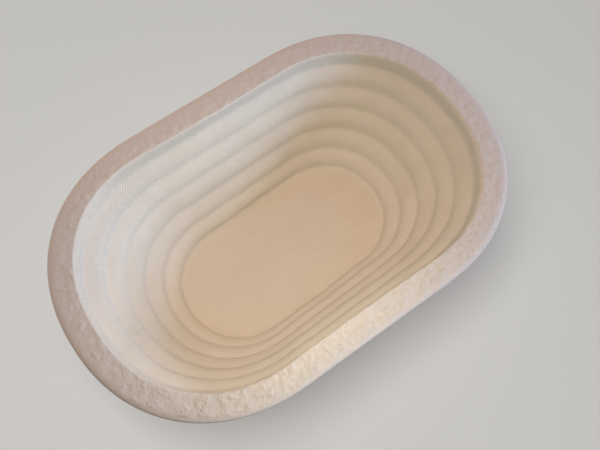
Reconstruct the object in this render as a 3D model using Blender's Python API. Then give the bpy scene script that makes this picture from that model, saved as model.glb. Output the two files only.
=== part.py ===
"""Oval proofing basket, moulded in one piece from wood pulp, with a ribbed wall inside.

Metres, +Z up. The origin is the middle of the resting face, and +X runs along the basket.
"""

import math

import bmesh
import bpy

# The rim, seen from above
RIM_LENGTH = 0.280
RIM_WIDTH = 0.183
RIM_LAND = 0.0155
RIM_OUTER_RADIUS = 0.0030
RIM_INNER_RADIUS = 0.0015

# Heights and thicknesses
HEIGHT = 0.0820
FLOOR_THICKNESS = 0.0100
WALL_AT_FLOOR = 0.0120
FOOT_RADIUS = 0.0080

# The flat floor inside
FLOOR_LENGTH = 0.148
FLOOR_WIDTH = 0.077

# The lip, a steep plain band between the rim and the topmost groove
LIP_HEIGHT = 0.0102
LIP_RUN = 0.0020
LIP_BULGE = 0.0006

# The ribs that mark the loaf, from the floor's edge up to the lip
RIB_COUNT = 5
RIB_DEPTH = 0.0020

# The outline's ends: 2 is a true half circle, and more is squarer
RIM_SQUARENESS = 2.18
FLOOR_SQUARENESS = 2.10

# Facets along one end of the outline, one rib, a rounded rim edge and the foot
END_STEPS = 24
RIB_STEPS = 6
INNER_EDGE_STEPS = 3
OUTER_EDGE_STEPS = 3
FOOT_STEPS = 4

# Dry wood pulp
PULP_COLOUR = (0.74, 0.64, 0.50, 1.0)
PULP_ROUGHNESS = 0.93


def arc(centre, radius, first_angle, last_angle, steps):
    """Points along an arc in the wall's section, both ends included."""
    points = []
    for step in range(steps + 1):
        angle = first_angle + (last_angle - first_angle) * step / steps
        points.append((centre[0] + radius * math.cos(angle), centre[1] + radius * math.sin(angle)))
    return points


def rib(groove_below, groove_above, depth):
    """One rounded rib, from the groove below it up to the one above, without that last point."""
    run = groove_above[0] - groove_below[0]
    rise = groove_above[1] - groove_below[1]
    chord = math.hypot(run, rise)
    radius = (chord**2 / 4 + depth**2) / (2 * depth)
    half_angle = math.asin(chord / (2 * radius))
    along = (run / chord, rise / chord)
    inward = (along[1], -along[0])
    points = []
    for step in range(RIB_STEPS):
        turn = half_angle * (2 * step / RIB_STEPS - 1)
        travel = chord / 2 + radius * math.sin(turn)
        bulge = radius * (math.cos(turn) - math.cos(half_angle))
        points.append(
            (
                groove_below[0] + along[0] * travel + inward[0] * bulge,
                groove_below[1] + along[1] * travel + inward[1] * bulge,
            )
        )
    return points


def inside_section():
    """The ribbed wall and the lip, as (inset from the rim's outer edge, height), floor first."""
    floor_edge = ((RIM_WIDTH - FLOOR_WIDTH) / 2, FLOOR_THICKNESS)
    lip_foot = (RIM_LAND + LIP_RUN, HEIGHT - LIP_HEIGHT)
    grooves = []
    for level in range(RIB_COUNT + 1):
        share = level / RIB_COUNT
        grooves.append(
            (
                floor_edge[0] + (lip_foot[0] - floor_edge[0]) * share,
                floor_edge[1] + (lip_foot[1] - floor_edge[1]) * share,
            )
        )
    points = []
    for groove_below, groove_above in zip(grooves, grooves[1:]):
        points += rib(groove_below, groove_above, RIB_DEPTH)
    points += rib(lip_foot, (RIM_LAND, HEIGHT - RIM_INNER_RADIUS), LIP_BULGE)
    return points


def outside_section():
    """The rim's rounded edges, the plain outer wall and the foot, on from the lip, floor last."""
    inner_edge = (RIM_LAND - RIM_INNER_RADIUS, HEIGHT - RIM_INNER_RADIUS)
    outer_edge = (RIM_OUTER_RADIUS, HEIGHT - RIM_OUTER_RADIUS)
    floor_inset = (RIM_WIDTH - FLOOR_WIDTH) / 2
    foot = (floor_inset - WALL_AT_FLOOR + FOOT_RADIUS, FOOT_RADIUS)
    # The outer wall is the straight line that touches both the rim's round edge and the foot's
    run = foot[0] - outer_edge[0]
    drop = foot[1] - outer_edge[1]
    touch = math.atan2(drop, run) - math.acos((RIM_OUTER_RADIUS - FOOT_RADIUS) / math.hypot(run, drop))
    wall_angle = touch % math.tau
    points = arc(inner_edge, RIM_INNER_RADIUS, 0, math.pi / 2, INNER_EDGE_STEPS)
    points += arc(outer_edge, RIM_OUTER_RADIUS, math.pi / 2, math.pi, OUTER_EDGE_STEPS)
    points += arc(outer_edge, RIM_OUTER_RADIUS, math.pi, wall_angle, OUTER_EDGE_STEPS)[1:]
    points += arc(foot, FOOT_RADIUS, wall_angle, 3 * math.pi / 2, FOOT_STEPS)
    return points


def outline(inset, height):
    """The basket's oval at one point of the section: straight sides and squared round ends."""
    widest = HEIGHT - RIM_OUTER_RADIUS
    depth_share = (widest - height) / (widest - FLOOR_THICKNESS)
    # The ends lean out more than the sides, and the difference grows evenly from the rim down
    end_lean = (RIM_LENGTH - FLOOR_LENGTH) / 2 - (RIM_WIDTH - FLOOR_WIDTH) / 2
    half_width = RIM_WIDTH / 2 - inset
    half_length = RIM_LENGTH / 2 - inset - end_lean * depth_share
    squareness = RIM_SQUARENESS + (FLOOR_SQUARENESS - RIM_SQUARENESS) * depth_share
    half_straight = half_length - half_width
    points = []
    for side in (1, -1):
        for step in range(END_STEPS + 1):
            angle = math.pi * (step / END_STEPS - 0.5)
            across = math.cos(angle)
            along = math.sin(angle)
            reach = half_width * (abs(across) ** squareness + abs(along) ** squareness) ** (-1 / squareness)
            points.append((side * (half_straight + reach * across), side * reach * along, height))
    return points


def loft(section):
    """A closed skin over the section's ovals, with a flat face across the first and the last."""
    mesh = bmesh.new()
    rings = [[mesh.verts.new(point) for point in outline(*spot)] for spot in section]
    for ring, next_ring in zip(rings, rings[1:]):
        for corner in range(len(ring)):
            behind = corner - 1
            mesh.faces.new((ring[behind], ring[corner], next_ring[corner], next_ring[behind]))
    mesh.faces.new(rings[0])
    mesh.faces.new(rings[-1])
    bmesh.ops.recalc_face_normals(mesh, faces=mesh.faces)
    return mesh


def pulp_material():
    """Matt, warm off-white wood pulp."""
    material = bpy.data.materials.new("moulded_pulp")
    material.use_nodes = True
    shader = material.node_tree.nodes["Principled BSDF"]
    shader.inputs["Base Color"].default_value = PULP_COLOUR
    shader.inputs["Roughness"].default_value = PULP_ROUGHNESS
    shader.inputs["Metallic"].default_value = 0.0
    return material


def add_basket():
    """The whole basket: one moulding, open at the top."""
    mesh = loft(inside_section() + outside_section())
    data = bpy.data.meshes.new("pulp_basket")
    mesh.to_mesh(data)
    mesh.free()
    data.materials.append(pulp_material())
    data.shade_smooth()
    data.set_sharp_from_angle(angle=math.radians(35))
    basket = bpy.data.objects.new("pulp_basket", data)
    bpy.context.scene.collection.objects.link(basket)
    return basket


for leftover in list(bpy.data.objects):
    bpy.data.objects.remove(leftover, do_unlink=True)

add_basket()
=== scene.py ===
# %% [markdown]
# # A moulded pulp proofing basket
# Bread dough rises in this basket. Wet ground wood is drawn onto a wire screen, pressed and dried, so the
# whole basket is one skin of pulp. The screen side is the inside: it is smooth, ribbed and marked by the
# wires. The other side, and the rim where the skin ends, stay rough and fibrous. This lesson models that skin
# as one closed mesh and finishes it with a procedural material.

import math
import random

import bmesh
import bpy
import numpy as np
from mathutils import Matrix, Quaternion, Vector


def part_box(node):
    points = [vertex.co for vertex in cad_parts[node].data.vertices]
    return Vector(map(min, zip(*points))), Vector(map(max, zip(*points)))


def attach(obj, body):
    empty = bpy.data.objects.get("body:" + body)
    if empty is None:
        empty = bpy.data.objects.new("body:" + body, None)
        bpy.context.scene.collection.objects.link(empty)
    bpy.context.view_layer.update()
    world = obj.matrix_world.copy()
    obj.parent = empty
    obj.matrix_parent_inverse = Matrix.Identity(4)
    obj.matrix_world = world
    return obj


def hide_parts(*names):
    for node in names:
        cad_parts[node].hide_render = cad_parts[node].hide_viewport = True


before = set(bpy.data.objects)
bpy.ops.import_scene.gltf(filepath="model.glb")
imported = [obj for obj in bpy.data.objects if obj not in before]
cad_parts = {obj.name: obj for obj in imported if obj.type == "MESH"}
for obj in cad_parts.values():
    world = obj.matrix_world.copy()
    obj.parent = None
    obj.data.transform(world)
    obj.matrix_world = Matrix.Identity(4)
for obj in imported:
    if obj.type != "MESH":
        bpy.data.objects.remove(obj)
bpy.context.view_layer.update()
low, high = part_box("pulp_basket")
HEIGHT = high[2] - low[2]
RIM_HALF_LENGTH = (high[0] - low[0]) / 2
RIM_HALF_WIDTH = (high[1] - low[1]) / 2
rim_size = [round(2000 * half) for half in (RIM_HALF_LENGTH, RIM_HALF_WIDTH)]
print("frame:", rim_size, "by", round(1000 * HEIGHT), "mm")

# %% [markdown]
# ## Camera
# The basket is seen from above and a little from its near long side, turned so that its length runs up to the
# right. The camera is placed by an azimuth, an elevation and a distance from a point on the rim's plane, then
# rolled a little, as a hand-held camera is.

# %% Camera
CAMERA_AZIMUTH = math.radians(-127.22)
CAMERA_ELEVATION = math.radians(68.13)
CAMERA_DISTANCE = 0.4058
CAMERA_ROLL = math.radians(1.66)
CAMERA_LENS = 42.41
SENSOR_WIDTH = 36
AIM = Vector((0.0007, -0.0153, HEIGHT))


def direction(azimuth, elevation):
    """The unit vector that points this way, from angles in radians."""
    flat = math.cos(elevation)
    return Vector((flat * math.cos(azimuth), flat * math.sin(azimuth), math.sin(elevation)))


away = direction(CAMERA_AZIMUTH, CAMERA_ELEVATION)
camera_data = bpy.data.cameras.new("camera")
camera_data.sensor_width = SENSOR_WIDTH
camera_data.lens = CAMERA_LENS
camera = bpy.data.objects.new("camera", camera_data)
camera.location = AIM + CAMERA_DISTANCE * away
camera.rotation_mode = "QUATERNION"
camera.rotation_quaternion = (-away).to_track_quat("-Z", "Y") @ Quaternion((0, 0, 1), CAMERA_ROLL)
bpy.context.scene.collection.objects.link(camera)
bpy.context.scene.camera = camera
print("camera at", [round(value, 3) for value in camera.location])

# %% [markdown]
# ## The section
# Cut the basket across the middle and one line describes it: along the floor, up the ribs, over the rim, down
# the outside and back under the foot. Each point of that line becomes a ring of the cage, given by how far it
# is set in from the rim's outer edge and by its height. The cage is smoothed later, which pulls every bend
# inwards, so bends are drawn a little stronger than they end up. A ring on either side of each groove keeps
# the groove narrow.

# %% Sizes of the section
RIM_LAND = 0.0155
RIM_OUTER_RADIUS = 0.0029
RIM_INNER_RADIUS = 0.0005
FLOOR_THICKNESS = 0.0100
WALL_AT_FLOOR = 0.0120
FOOT_RADIUS = 0.0080
FLOOR_HALF_LENGTH = 0.0740
FLOOR_HALF_WIDTH = 0.0380
# Grooves between the ribs, from the floor's edge up to the foot of the lip: inset and height
GROOVES = (
    (0.0526, 0.0100),
    (0.0458, 0.0226),
    (0.0381, 0.0347),
    (0.0311, 0.0476),
    (0.0238, 0.0596),
    (0.0167, 0.0725),
)
LIP_HEIGHT = HEIGHT - GROOVES[-1][1]
LIP_BULGE = 0.0008
RIB_DEPTH = 0.0030
# Rings of one rib: share of the way from groove to groove, and bulge as a share of the rib's depth
RIB_RINGS = ((0.0, 0.0), (0.17, 0.58), (0.46, 1.0), (0.83, 0.58))
# Rings of the lip, in the same way
LIP_RINGS = ((0.35, 0.35), (0.95, 0.5))
# Rings of the floor and the underside, as shares of the floor's half width
FLOOR_RINGS = (0, 0.5, 0.9)
UNDERSIDE_RINGS = (0.5, 0)
# Rings of the rim's flat land, as shares of its width from the outer edge
LAND_RINGS = (0.70, 0.47)
# Number of rings down the outer wall, and of steps round each bend
WALL_RINGS = 12
INNER_BEND_STEPS = 2
OUTER_BEND_STEPS = 3
# The underside starts this far inside the foot's bend
FOOT_STEP = 0.001

FLOOR_INSET = RIM_HALF_WIDTH - FLOOR_HALF_WIDTH


def bend(centre, radius, first, last, steps):
    """Rings round a bend, pushed out by what one smoothing takes off between two steps."""
    step = (last - first) / steps
    spread = radius / (0.75 + 0.25 * math.cos(step))
    angles = [first + step * number for number in range(steps + 1)]
    return [(centre[0] + spread * math.cos(angle), centre[1] + spread * math.sin(angle)) for angle in angles]


def rib_rings():
    """The ribbed wall, from the floor's edge up to the lip."""
    rings = []
    for foot, top in zip(GROOVES, GROOVES[1:]):
        foot, top = Vector(foot), Vector(top)
        inward = Vector((top.y - foot.y, foot.x - top.x)).normalized()
        rings += [tuple(foot.lerp(top, share) + inward * RIB_DEPTH * bulge) for share, bulge in RIB_RINGS]
    rings.append(GROOVES[-1])
    return rings


def lip_rings():
    """The plain band above the ribs, a little round, up to where the rim starts to turn over."""
    foot = Vector(GROOVES[-1])
    top = Vector((RIM_LAND, HEIGHT - RIM_INNER_RADIUS))
    inward = Vector((top.y - foot.y, foot.x - top.x)).normalized()
    return [tuple(foot.lerp(top, share) + inward * LIP_BULGE * bulge) for share, bulge in LIP_RINGS]


def outside_rings():
    """Rim edge, outer wall and foot; the wall is the line that touches both round edges."""
    edge = Vector((RIM_OUTER_RADIUS, HEIGHT - RIM_OUTER_RADIUS))
    foot = Vector((FLOOR_INSET - WALL_AT_FLOOR + FOOT_RADIUS, FOOT_RADIUS))
    span = foot - edge
    lean = math.acos((RIM_OUTER_RADIUS - FOOT_RADIUS) / span.length)
    touch = (math.atan2(span.y, span.x) - lean) % math.tau
    top = bend(edge, RIM_OUTER_RADIUS, math.radians(90), touch, OUTER_BEND_STEPS)
    bottom = bend(foot, FOOT_RADIUS, touch, math.radians(270), OUTER_BEND_STEPS)
    shares = [number / WALL_RINGS for number in range(1, WALL_RINGS)]
    wall = [tuple(Vector(top[-1]).lerp(Vector(bottom[0]), share)) for share in shares]
    return top[1:], wall, bottom


edge_rings, wall_rings, foot_rings = outside_rings()
inner_corner = (RIM_LAND - RIM_INNER_RADIUS, HEIGHT - RIM_INNER_RADIUS)
inner_bend = bend(inner_corner, RIM_INNER_RADIUS, 0, math.radians(90), INNER_BEND_STEPS)
section = []
section += [("floor", RIM_HALF_WIDTH - FLOOR_HALF_WIDTH * share, FLOOR_THICKNESS) for share in FLOOR_RINGS]
section += [("ribs", *ring) for ring in rib_rings()]
section += [("lip", *ring) for ring in lip_rings()]
section += [("rim", *ring) for ring in inner_bend]
section += [("rim", RIM_LAND * share, HEIGHT) for share in LAND_RINGS]
section += [("rim", *ring) for ring in edge_rings]
section += [("outside", *ring) for ring in wall_rings + foot_rings[:-1]]
section += [("underside", foot_rings[-1][0] + FOOT_STEP, 0.0)]
section += [("underside", RIM_HALF_WIDTH - FLOOR_HALF_WIDTH * share, 0.0) for share in UNDERSIDE_RINGS]
print("section:", len(section), "rings,", len(GROOVES) - 1, "ribs")

# %% [markdown]
# ## The cage
# A circle is the start. Each of its corners remembers how far round the rim it sits, and is then laid on an
# oval: straight sides, and ends that are nearly half circles. Extruding the open loop and laying the new one
# on the next oval of the section draws the whole skin, ring by ring. The ends lean out further than the
# sides, so the ovals get shorter with depth faster than they get narrower. The real basket isn't quite even,
# and neither is this one: its floor sits a few degrees turned against the rim, the floor's long sides bow
# out, the near wall bellies out halfway up, and the rim is wider in some places.

# %% Ovals
COLUMNS = 172
RIM_SQUARENESS = 2.18
FLOOR_SQUARENESS = 2.10
FLOOR_TURN = math.radians(2.6)
FLOOR_BOW = 0.037
# The near wall's belly, and the share of the way round where there is none of it
NEAR_BOW = 0.0011
NEAR_BOW_NIL = 0.34
# The rim's inner edge swells in by these lengths, four times and once on the way round, most at these shares
FOURFOLD_SWELL = 0.0006
FOURFOLD_PEAK = -0.063
ONEFOLD_SWELL = 0.0004
ONEFOLD_PEAK = 0.32
MEAN_SWELL = -0.0002
# The swell starts at this share of the land's width and is full after a further share
SWELL_START = 0.45
SWELL_SPAN = 0.5
END_LEAN = (RIM_HALF_LENGTH - FLOOR_HALF_LENGTH) - (RIM_HALF_WIDTH - FLOOR_HALF_WIDTH)
WIDEST = HEIGHT - RIM_OUTER_RADIUS

rim_half_straight = RIM_HALF_LENGTH - RIM_HALF_WIDTH
end_run = math.pi * RIM_HALF_WIDTH
half_round = end_run + 2 * rim_half_straight


def rim_swell(around, inset, height):
    """How much further in the rim's inner edge reaches: more at the sides and ends, less at the corners."""
    up_the_lip = (height - HEIGHT + LIP_HEIGHT) / (LIP_HEIGHT - RIM_INNER_RADIUS)
    across_the_rim = (inset / RIM_LAND - SWELL_START) / SWELL_SPAN
    share = min(max(min(up_the_lip, across_the_rim), 0), 1)
    fourfold = FOURFOLD_SWELL * math.cos(8 * math.pi * (around - FOURFOLD_PEAK))
    onefold = ONEFOLD_SWELL * math.cos(2 * math.pi * (around - ONEFOLD_PEAK))
    return share * (fourfold + onefold + MEAN_SWELL)


def oval_point(around, inset, height, uneven):
    """The place on one ring of a corner that sits this share of the way round the rim, and its run.

    The run is the distance round the ring from the middle of the nearer long side.
    """
    depth = (WIDEST - height) / (WIDEST - FLOOR_THICKNESS)
    half_width = RIM_HALF_WIDTH - inset - rim_swell(around, inset, height)
    if uneven:
        # The wall of the near side and of the corner left of it bellies out halfway up
        nearness = 0.5 - 0.5 * math.cos(math.tau * (around - NEAR_BOW_NIL))
        half_width += NEAR_BOW * nearness**3 * 4 * depth * (1 - depth)
    half_straight = rim_half_straight - END_LEAN * depth
    squareness = RIM_SQUARENESS + (FLOOR_SQUARENESS - RIM_SQUARENESS) * depth
    travel = (around % 0.5) * 2 * half_round
    side = 1 if around < 0.5 else -1
    if travel > end_run:
        share = (travel - end_run) / (half_round - end_run)
        spot = Vector((side * half_straight * (1 - 2 * share), side * half_width, height))
        run = abs(spot.x)
    else:
        angle = math.pi * (travel / end_run - 0.5)
        across, up = math.cos(angle), math.sin(angle)
        reach = half_width * (abs(across) ** squareness + abs(up) ** squareness) ** (-1 / squareness)
        spot = Vector((side * (half_straight + reach * across), side * reach * up, height))
        run = half_straight + half_width * (math.pi / 2 - abs(angle))
    if uneven:
        # The floor's bow is strongest in the middle of the long sides, and soon fades above the floor
        middle = max(1 - (spot.x / (half_straight + half_width + 1e-9)) ** 2, 0)
        spot.y *= 1 + FLOOR_BOW * middle**1.5 * depth**8
        spot.rotate(Matrix.Rotation(FLOOR_TURN * depth, 3, "Z"))
    return spot, run


def lay_ring(piece, inset, height, along, uneven):
    """Moves the selected loop onto one oval and notes its distances along the section and round the ring."""
    mesh = bmesh.from_edit_mesh(piece.data)
    layers = mesh.verts.layers.float
    for corner in mesh.verts:
        if corner.select:
            around = corner[layers["around"]]
            corner.co, corner[layers["run"]] = oval_point(around, inset, height, uneven)
            corner[layers["along"]] = along
    bmesh.update_edit_mesh(piece.data)


print("ovals:", COLUMNS, "corners each, about", round(2000 * half_round), "mm round the rim")

# %% Extrude the cage
bpy.ops.object.select_all(action="DESELECT")
bpy.ops.mesh.primitive_circle_add(vertices=COLUMNS, radius=RIM_HALF_WIDTH)
basket = bpy.context.object
basket.name = "basket_moulding"
for zone in ("floor", "ribs", "lip", "rim", "land", "outside", "underside"):
    basket.vertex_groups.new(name=zone)

bpy.ops.object.mode_set(mode="EDIT")
mesh = bmesh.from_edit_mesh(basket.data)
for name in ("around", "along", "run"):
    mesh.verts.layers.float.new(name)
around_layer = mesh.verts.layers.float["around"]
for corner in mesh.verts:
    corner[around_layer] = (math.atan2(corner.co.y, corner.co.x) / math.tau + 0.5 / COLUMNS) % 1

# The flat land of the rim starts a little inside the round edge
LAND_START = 1.2 * RIM_OUTER_RADIUS
zone_ends = {}
along = 0.0
last_spot = Vector(section[0][1:3])
for number, (zone, inset, height) in enumerate(section):
    if number:
        bpy.ops.mesh.extrude_region()
    along += (Vector((inset, height)) - last_spot).length
    last_spot = Vector((inset, height))
    lay_ring(basket, inset, height, along, uneven=zone in ("floor", "ribs"))
    # An extruded loop starts in the groups of the loop it came from
    bpy.ops.object.vertex_group_remove_from(use_all_groups=True)
    basket.vertex_groups.active_index = basket.vertex_groups[zone].index
    bpy.ops.object.vertex_group_assign()
    if zone == "rim" and inset > LAND_START:
        basket.vertex_groups.active_index = basket.vertex_groups["land"].index
        bpy.ops.object.vertex_group_assign()
    zone_ends[zone] = along
bpy.ops.mesh.select_all(action="SELECT")
bpy.ops.mesh.remove_doubles(threshold=1e-6)
bpy.ops.mesh.normals_make_consistent(inside=False)
bpy.ops.object.mode_set(mode="OBJECT")
ends_in_mm = {zone: round(end * 1000, 1) for zone, end in zone_ends.items()}
print("cage:", len(basket.data.polygons), "faces; along the section the zones end at", ends_in_mm)

# %% Smooth the cage
smooth = basket.modifiers.new("smooth", "SUBSURF")
smooth.levels = 1
smooth.render_levels = 1
bpy.ops.object.modifier_apply(modifier=smooth.name)

# The rim gets three times finer faces, for its rough relief
RIM_WEIGHT = 0.45
rim_group = basket.vertex_groups["rim"].index
on_rim = set()
for corner in basket.data.vertices:
    if any(entry.group == rim_group and entry.weight > RIM_WEIGHT for entry in corner.groups):
        on_rim.add(corner.index)
bpy.ops.object.mode_set(mode="EDIT")
bpy.ops.mesh.select_all(action="DESELECT")
bpy.ops.object.mode_set(mode="OBJECT")
for face in basket.data.polygons:
    face.select = all(corner in on_rim for corner in face.vertices)
bpy.ops.object.mode_set(mode="EDIT")
bpy.ops.mesh.select_mode(type="FACE")
bpy.ops.mesh.subdivide(number_cuts=2)
bpy.ops.object.mode_set(mode="OBJECT")
bpy.ops.object.shade_smooth()
basket.data.calc_loop_triangles()
print("skin:", len(basket.data.loop_triangles), "triangles;", len(on_rim), "corners were on the rim at first")

# %% [markdown]
# ## Relief
# Pulp shrinks as it dries, so no surface of it is quite even. Displace modifiers push each zone of the skin
# by a cloud texture of its own size: long slow waves on the ribbed wall, lumps on the rim and outside, which
# only ever go inwards, and a ragged lip. Where the wet skin was torn from the screen, the rim has short
# raised ridges. Those are pulled up one by one, as with a sculpting brush, at places drawn from a seeded list
# of random numbers.


# %% Waves and lumps
def roughen(zone, size, strength, middle, detail):
    """Displaces one zone along its normals by a cloud texture, and applies it."""
    texture = bpy.data.textures.new(zone + "_relief", "CLOUDS")
    texture.noise_scale = size
    texture.noise_depth = detail
    relief = basket.modifiers.new(zone + "_relief", "DISPLACE")
    relief.texture = texture
    relief.texture_coords = "LOCAL"
    relief.vertex_group = zone
    relief.strength = strength
    relief.mid_level = middle
    bpy.ops.object.modifier_apply(modifier=relief.name)
    print(zone, "roughened by", round(strength * 1000, 1), "mm")


bpy.ops.object.select_all(action="DESELECT")
basket.select_set(True)
bpy.context.view_layer.objects.active = basket
roughen("ribs", size=0.018, strength=0.0012, middle=0.5, detail=1)
roughen("lip", size=0.005, strength=0.0007, middle=0.5, detail=2)
roughen("land", size=0.0040, strength=0.0006, middle=1.0, detail=2)
roughen("outside", size=0.0080, strength=0.0012, middle=1.0, detail=2)

# %% Torn ridges
RIDGES = 70
# Most ridges are on the left end and the near side, given as shares of the way round
TORN_SIDE = (0.62, 1.02)
TORN_SIDE_SHARE = 0.67
# Gaps to the rim's edges, and the least and most that a ridge measures
OUTER_GAP = 0.0050
INNER_GAP = 0.0005
RIDGE_TURN = 1.6
RIDGE_HALF_LENGTH = (0.0004, 0.0018)
RIDGE_THICKNESS = (0.0007, 0.0011)
RIDGE_RISE = (0.0001, 0.0004)
LAND_DEPTH = 0.0025
# A second point, this far out, gives the way across the rim
PROBE = 0.002

dice = random.Random(11)
spots = np.empty(len(basket.data.vertices) * 3)
basket.data.vertices.foreach_get("co", spots)
spots = spots.reshape(-1, 3)
along_noted = np.empty(len(basket.data.vertices))
basket.data.attributes["along"].data.foreach_get("value", along_noted)
on_land = np.nonzero((along_noted > zone_ends["lip"]) & (spots[:, 2] > HEIGHT - LAND_DEPTH))[0]
for _ in range(RIDGES):
    around = dice.uniform(*TORN_SIDE) % 1 if dice.random() < TORN_SIDE_SHARE else dice.random()
    inset = dice.uniform(OUTER_GAP, RIM_LAND - INNER_GAP)
    middle = oval_point(around, inset, HEIGHT, False)[0]
    outer = oval_point(around, inset - PROBE, HEIGHT, False)[0]
    heading = (outer - middle).normalized()
    heading.rotate(Matrix.Rotation(dice.uniform(-RIDGE_TURN, RIDGE_TURN), 3, "Z"))
    half_length = dice.uniform(*RIDGE_HALF_LENGTH)
    thickness = dice.uniform(*RIDGE_THICKNESS)
    rise = dice.uniform(*RIDGE_RISE)
    offsets = spots[on_land, :2] - np.array(middle[:2])
    along_it = np.clip(offsets @ np.array(heading[:2]), -half_length, half_length)
    gaps = np.linalg.norm(offsets - along_it[:, None] * np.array(heading[:2]), axis=1)
    spots[on_land, 2] += rise * np.exp(-((gaps / thickness) ** 2))
spots[:, 2] = np.clip(spots[:, 2], 0.0, HEIGHT)
basket.data.vertices.foreach_set("co", spots.ravel())
basket.data.update()
print("ridges:", RIDGES, "on", len(on_land), "corners of the rim")

# %% [markdown]
# ## Pulp
# Dry pulp is a warm off-white, quite matt, and never one flat colour. It is cloudy, has short fibres on top,
# and holds a few dark specks of bark. The pressed screen side has a faint sheen and the print of the wires.
# Painted light makes its lower ribs, and more of them on the near side, a little paler, and painted shade
# makes its lip greyer. The floor has faint streaks, and the rim is a rough, torn stucco, with painted shade
# that makes it greyer towards the left end. All of it is one material: noted distances along the section
# tell it which zone it is on, and patterns that follow the surface use the distance along the section and the
# run round the ring as coordinates.

# %% Node helpers
pulp = bpy.data.materials.new("moulded_pulp")
pulp.use_nodes = True
tree = pulp.node_tree
shader = tree.nodes["Principled BSDF"]
print("material:", pulp.name)


def feed(socket, value):
    """Links a socket to another, or sets its value."""
    if isinstance(value, bpy.types.NodeSocket):
        tree.links.new(value, socket)
    else:
        socket.default_value = value


def calc(operation, first, second=0.0, third=0.0):
    """A Math node on numbers or sockets."""
    node = tree.nodes.new("ShaderNodeMath")
    node.operation = operation
    for socket, value in zip(node.inputs, (first, second, third)):
        feed(socket, value)
    return node.outputs["Value"]


def ramp(value, start, end, low=0.0, high=1.0):
    """A smooth step from low to high while the value goes from start to end."""
    node = tree.nodes.new("ShaderNodeMapRange")
    node.interpolation_type = "SMOOTHSTEP"
    for name, setting in (
        ("Value", value),
        ("From Min", start),
        ("From Max", end),
        ("To Min", low),
        ("To Max", high),
    ):
        feed(node.inputs[name], setting)
    return node.outputs["Result"]


def noise(vector, scale, detail=2.0, roughness=0.5, distortion=0.0):
    """A noise pattern, about one half on average; the scale is in lumps per metre."""
    node = tree.nodes.new("ShaderNodeTexNoise")
    feed(node.inputs["Vector"], vector)
    feed(node.inputs["Scale"], scale)
    feed(node.inputs["Detail"], detail)
    feed(node.inputs["Roughness"], roughness)
    feed(node.inputs["Distortion"], distortion)
    return node.outputs["Fac"]


# A Mix node has sockets for each kind of data, and these are the ones for colours
MIX_FIRST = 6
MIX_SECOND = 7
MIX_RESULT = 2


def blend_colours(share, first, second):
    """A mix of two colours, by the second one's share."""
    node = tree.nodes.new("ShaderNodeMix")
    node.data_type = "RGBA"
    feed(node.inputs["Factor"], share)
    feed(node.inputs[MIX_FIRST], first)
    feed(node.inputs[MIX_SECOND], second)
    return node.outputs[MIX_RESULT]


# %% Zones of the skin
place = tree.nodes.new("ShaderNodeTexCoord").outputs["Object"]
along_note = tree.nodes.new("ShaderNodeAttribute")
along_note.attribute_name = "along"
along_skin = along_note.outputs["Fac"]
run_note = tree.nodes.new("ShaderNodeAttribute")
run_note.attribute_name = "run"
run = run_note.outputs["Fac"]
axes = tree.nodes.new("ShaderNodeSeparateXYZ")
feed(axes.inputs["Vector"], place)
lengthwise = axes.outputs["X"]
crosswise = axes.outputs["Y"]
upward = axes.outputs["Z"]

# The border between lip and rim is frayed by this much
FRAY = 0.0016
frayed = calc("MULTIPLY_ADD", noise(place, 350, 2), FRAY, calc("SUBTRACT", along_skin, FRAY / 2))
on_rim_mask = ramp(frayed, zone_ends["lip"] - 0.0006, zone_ends["lip"] + 0.0008)
on_floor_mask = ramp(along_skin, zone_ends["floor"] + 0.006, zone_ends["floor"] + 0.002)
on_edge_mask = ramp(along_skin, zone_ends["rim"] - 0.0075, zone_ends["rim"] - 0.0035)
on_wall_mask = calc("SUBTRACT", calc("SUBTRACT", 1.0, on_rim_mask), on_floor_mask)
print("zones:", len(tree.nodes), "nodes so far")

# %% Clouds, fibres and specks
clouds = noise(place, 40, 5, 0.62)
grain = noise(place, 800, 3, 0.6)
fibre_field = noise(place, 260, 2, 0.5, 1.6)
fibre_line = ramp(calc("ABSOLUTE", calc("SUBTRACT", fibre_field, 0.5)), 0.018, 0.0)
fibre_breaks = ramp(noise(place, 420, 1), 0.50, 0.60)
fibres = calc("MULTIPLY", fibre_line, fibre_breaks)

# Of all flakes only the few with a high number hold a speck, and the higher the number, the bigger it is
FLAKES_PER_METRE = 75.0
flakes = tree.nodes.new("ShaderNodeTexVoronoi")
feed(flakes.inputs["Vector"], place)
feed(flakes.inputs["Scale"], FLAKES_PER_METRE)
flake_dice = tree.nodes.new("ShaderNodeSeparateColor")
feed(flake_dice.inputs["Color"], flakes.outputs["Color"])
speck_size = ramp(flake_dice.outputs["Red"], 0.72, 1.0, 0.0, 0.045)
specks = ramp(flakes.outputs["Distance"], speck_size, calc("MULTIPLY", speck_size, 0.45))
print("clouds, fibres and specks:", len(tree.nodes), "nodes so far")

# %% Print of the wires, streaks and stucco
WIRE_PITCH = 0.00165
# The wires cross the section at this slant, which packs them closer by the cosine of its angle
WIRE_SLANT = 0.80
SLANT_COSINE = 0.78
# One set of wires is printed less deep than the other
WEAKER_SET = 0.55


def wires(slant):
    """Waves across one set of wires."""
    crossing = calc("MULTIPLY_ADD", along_skin, slant, run)
    return calc("SINE", calc("MULTIPLY", crossing, math.tau * SLANT_COSINE / WIRE_PITCH))


one_way = wires(WIRE_SLANT)
other_way = wires(-WIRE_SLANT)
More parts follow.
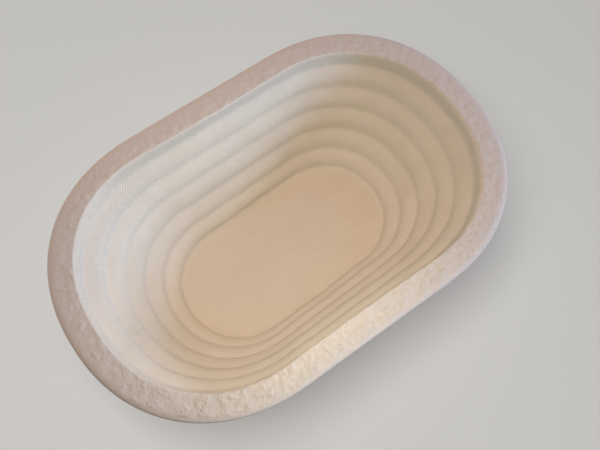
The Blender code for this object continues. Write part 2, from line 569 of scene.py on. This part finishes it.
# The print is patchy, and clearest on the left, the far side and the upper ribs
print_strength = ramp(noise(place, 18, 2), 0.35, 0.62, 0.35, 1.0)
print_strength = calc("MULTIPLY", print_strength, ramp(lengthwise, 0.02, -0.08, 0.3, 1.0))
print_strength = calc("MULTIPLY", print_strength, ramp(crosswise, -0.045, -0.01, 0.15, 1.0))
print_strength = calc("MULTIPLY", print_strength, ramp(upward, 0.015, 0.045, 0.2, 1.0))
wire_print = calc("MULTIPLY", calc("MULTIPLY_ADD", other_way, WEAKER_SET, one_way), print_strength)

# Streaks on the floor are long and thin, along the floor's length
STREAKS_PER_METRE = (22, 170, 1)
streak_axes = tree.nodes.new("ShaderNodeMapping")
feed(streak_axes.inputs["Vector"], place)
streak_axes.inputs["Rotation"].default_value = (0, 0, -FLOOR_TURN)
streak_axes.inputs["Scale"].default_value = STREAKS_PER_METRE
streaks = noise(streak_axes.outputs["Vector"], 1.0, 3, 0.55)

# A noise folded at its middle gives the torn crests of the rim
CREST_SLOPE = 5.0
CREST_SHARE = 0.25
torn = noise(place, 330, 3, 0.62, 0.8)
folded = calc("ABSOLUTE", calc("SUBTRACT", torn, 0.5))
torn_crests = calc("SUBTRACT", 1.0, calc("MULTIPLY", folded, CREST_SLOPE))
stucco = noise(place, 430, 4, 0.60)
rim_relief = calc("MULTIPLY_ADD", torn_crests, CREST_SHARE, stucco)
print("wires, streaks and stucco:", len(tree.nodes), "nodes so far")

# %% Colour
SCREEN_CREAM = (0.700, 0.627, 0.518, 1)
SCREEN_TAN = (0.670, 0.597, 0.488, 1)
RIM_CREAM = (0.685, 0.610, 0.515, 1)
RIM_GREY = (0.635, 0.565, 0.485, 1)
# Painted shade, for the steep lip
LIP_PAINTED_SHADE = (0.592, 0.552, 0.474, 1)
# Painted shade, for the rim towards its left end
RIM_PAINTED_SHADE = (0.600, 0.555, 0.495, 1)
# Painted light, for the lower ribs and the near side
PALE_PAINTED_LIGHT = (0.765, 0.682, 0.564, 1)
FIBRE_PALE = (0.79, 0.72, 0.62, 1)
SPECK_BROWN = (0.24, 0.16, 0.10, 1)
# The most that each of these covers the colour under it
STREAK_SHARE = 0.5
PAINTED_LIGHT_SHARE = 0.7
LIP_SHADE_SHARE = 0.75
RIM_SHADE_SHARE = 0.75
FIBRE_SHARE = 0.35
SPECK_SHARE = 0.75

screen_colour = blend_colours(ramp(clouds, 0.25, 0.60), SCREEN_TAN, SCREEN_CREAM)
floor_streaks = calc("MULTIPLY", on_floor_mask, ramp(streaks, 0.42, 0.60, 0.0, STREAK_SHARE))
screen_colour = blend_colours(floor_streaks, screen_colour, SCREEN_TAN)
# Painted light: the lowest ribs, and higher up on the near side, are painted a little paler, as if more light
# reached them
low_painted_light = ramp(along_skin, zone_ends["floor"] + 0.036, zone_ends["floor"] + 0.012)
high_painted_light = ramp(along_skin, zone_ends["floor"] + 0.054, zone_ends["floor"] + 0.036)
near_painted_light = calc("MULTIPLY", high_painted_light, ramp(crosswise, -0.015, -0.040))
painted_light_mask = calc("MULTIPLY", calc("MAXIMUM", low_painted_light, near_painted_light), on_wall_mask)
screen_colour = blend_colours(calc("MULTIPLY", painted_light_mask, PAINTED_LIGHT_SHARE), screen_colour, PALE_PAINTED_LIGHT)
# Painted shade: the steep lip is painted a little greyer, except at the left end, where the window lights it
on_lip = ramp(along_skin, zone_ends["ribs"] - 0.0015, zone_ends["ribs"] + 0.0015)
lip_painted_shade = calc("MULTIPLY", on_lip, ramp(lengthwise, -0.10, -0.02, 0.0, LIP_SHADE_SHARE))
screen_colour = blend_colours(lip_painted_shade, screen_colour, LIP_PAINTED_SHADE)
# The rim's stucco is paler on its crests, and painted shade makes the whole rim greyer towards the left end
rim_colour = blend_colours(ramp(stucco, 0.35, 0.62), RIM_GREY, RIM_CREAM)
rim_colour = blend_colours(ramp(lengthwise, -0.06, -0.13, 0.0, RIM_SHADE_SHARE), rim_colour, RIM_PAINTED_SHADE)
skin_colour = blend_colours(on_rim_mask, screen_colour, rim_colour)
skin_colour = blend_colours(calc("MULTIPLY", fibres, FIBRE_SHARE), skin_colour, FIBRE_PALE)
skin_colour = blend_colours(calc("MULTIPLY", specks, SPECK_SHARE), skin_colour, SPECK_BROWN)
feed(shader.inputs["Base Color"], skin_colour)
print("colour:", len(tree.nodes), "nodes so far")

# %% Sheen
# The pressed screen side has a faint sheen, and the torn rim has none, as it is this much rougher
TORN_ROUGHNESS = 0.38
screen_roughness = ramp(grain, 0.2, 0.8, 0.47, 0.59)
feed(shader.inputs["Roughness"], calc("MULTIPLY_ADD", on_rim_mask, TORN_ROUGHNESS, screen_roughness))
shader.inputs["Specular IOR Level"].default_value = 0.5
print("sheen:", len(tree.nodes), "nodes so far")

# %% Fine relief
# Heights are in millimetres, and the bump's distance turns them into metres
WIRE_RELIEF = 0.11
RIM_RELIEF = (0.12, 0.70)
STREAK_RELIEF = 0.10
GRAIN_RELIEF = 0.040
FIBRE_RELIEF = 0.05
MILLIMETRE = 0.001

skin_relief = calc("MULTIPLY", calc("MULTIPLY", wire_print, on_wall_mask), WIRE_RELIEF)
# The rim is roughest on the near side, a little to the left, in patches, and smoother at its outer edge
torn_side = calc("MULTIPLY_ADD", lengthwise, -0.15, calc("MULTIPLY", crosswise, -0.99))
rim_depth = ramp(torn_side, 0.015, 0.085, *RIM_RELIEF)
rim_depth = calc("MULTIPLY", rim_depth, ramp(noise(place, 110, 2), 0.36, 0.62, 0.35, 1.15))
rim_depth = calc("MULTIPLY", rim_depth, ramp(on_edge_mask, 0.0, 1.0, 1.0, 0.15))
skin_relief = calc("MULTIPLY_ADD", calc("MULTIPLY", rim_relief, on_rim_mask), rim_depth, skin_relief)
skin_relief = calc("MULTIPLY_ADD", calc("MULTIPLY", streaks, on_floor_mask), STREAK_RELIEF, skin_relief)
skin_relief = calc("MULTIPLY_ADD", grain, GRAIN_RELIEF, skin_relief)
skin_relief = calc("MULTIPLY_ADD", fibres, FIBRE_RELIEF, skin_relief)
bump = tree.nodes.new("ShaderNodeBump")
bump.inputs["Strength"].default_value = 1.0
bump.inputs["Distance"].default_value = MILLIMETRE
feed(bump.inputs["Height"], skin_relief)
feed(shader.inputs["Normal"], bump.outputs["Normal"])
basket.data.materials.append(pulp)
print("pulp:", len(tree.nodes), "nodes")

# %% Take the place of the solid
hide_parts("pulp_basket")
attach(basket, "root")
print(basket.name, "stands for pulp_basket")

# %% [markdown]
# ## Floor and light
# The floor is plain and pale. The light in a room is tinted: cool from a window, warm from the walls. That
# would colour the pale floor too, so light linking gives the basket five lamps of its own and the floor one
# neutral lamp. The near lamp hangs over the viewer's side, so the near rim is brightest. The window lamp
# stands low at the right, clears the rim and only reaches the opposite wall. The high lamp fills in the rest.
# Two small lamps just under the height of the rim light the outside, and a little light comes from all round.

# %% Floor
GROUND_SIZE = 6
GROUND_GREY = (0.66, 0.655, 0.64, 1)

bpy.ops.object.select_all(action="DESELECT")
bpy.ops.mesh.primitive_plane_add(size=GROUND_SIZE)
ground = bpy.context.object
ground.name = "ground"
ground_paint = bpy.data.materials.new("ground_paint")
ground_paint.use_nodes = True
ground_shader = ground_paint.node_tree.nodes["Principled BSDF"]
ground_shader.inputs["Base Color"].default_value = GROUND_GREY
ground_shader.inputs["Roughness"].default_value = 0.9
ground.data.materials.append(ground_paint)
print("floor:", GROUND_SIZE, "m square")


# %% Lights
def add_softbox(name, lit, distance, azimuth, elevation, size, power, colour):
    """A square lamp at a distance and a direction from the middle of the basket's mouth, turned to it."""
    away = direction(math.radians(azimuth), math.radians(elevation))
    lamp = bpy.data.lights.new(name, "AREA")
    lamp.size = size
    lamp.energy = power
    lamp.color = colour
    holder = bpy.data.objects.new(name, lamp)
    holder.location = Vector((0, 0, HEIGHT)) + distance * away
    holder.rotation_mode = "QUATERNION"
    holder.rotation_quaternion = (-away).to_track_quat("-Z", "Y")
    holder.visible_camera = False
    holder.light_linking.receiver_collection = lit
    bpy.context.scene.collection.objects.link(holder)
    print(name, "at", [round(value, 2) for value in holder.location])


basket_only = bpy.data.collections.new("lit_basket")
basket_only.objects.link(basket)
ground_only = bpy.data.collections.new("lit_ground")
ground_only.objects.link(ground)
# Name, what it lights, metres away, azimuth and elevation in degrees, size in metres, watts and colour
add_softbox("near_softbox", basket_only, 0.14, 243, 61, 0.075, 0.139, (1.0, 0.995, 0.83))
add_softbox("window_softbox", basket_only, 1.4, 322, 15.9, 0.42, 16.4, (0.390, 0.607, 1.0))
add_softbox("high_softbox", basket_only, 1.4, 60, 75, 0.80, 6.1, (1.0, 0.575, 0.43))
add_softbox("edge_softbox", basket_only, 1.4, 110, -1, 0.12, 8.0, (0.95, 0.93, 1.0))
add_softbox("low_softbox", basket_only, 1.4, 305, -1, 0.12, 2.6, (1.0, 0.62, 0.33))
add_softbox("floor_softbox", ground_only, 2.0, 200, 75, 1.6, 36.0, (1.0, 0.99, 0.98))

# %% Light from all round
ROOM_GREY = (0.152, 0.147, 0.147, 1)

world = bpy.data.worlds.new("studio")
world.use_nodes = True
background = world.node_tree.nodes["Background"]
background.inputs["Color"].default_value = ROOM_GREY
background.inputs["Strength"].default_value = 1.0
bpy.context.scene.world = world
bpy.context.scene.view_settings.view_transform = "Standard"
print("room light:", ROOM_GREY[:3])
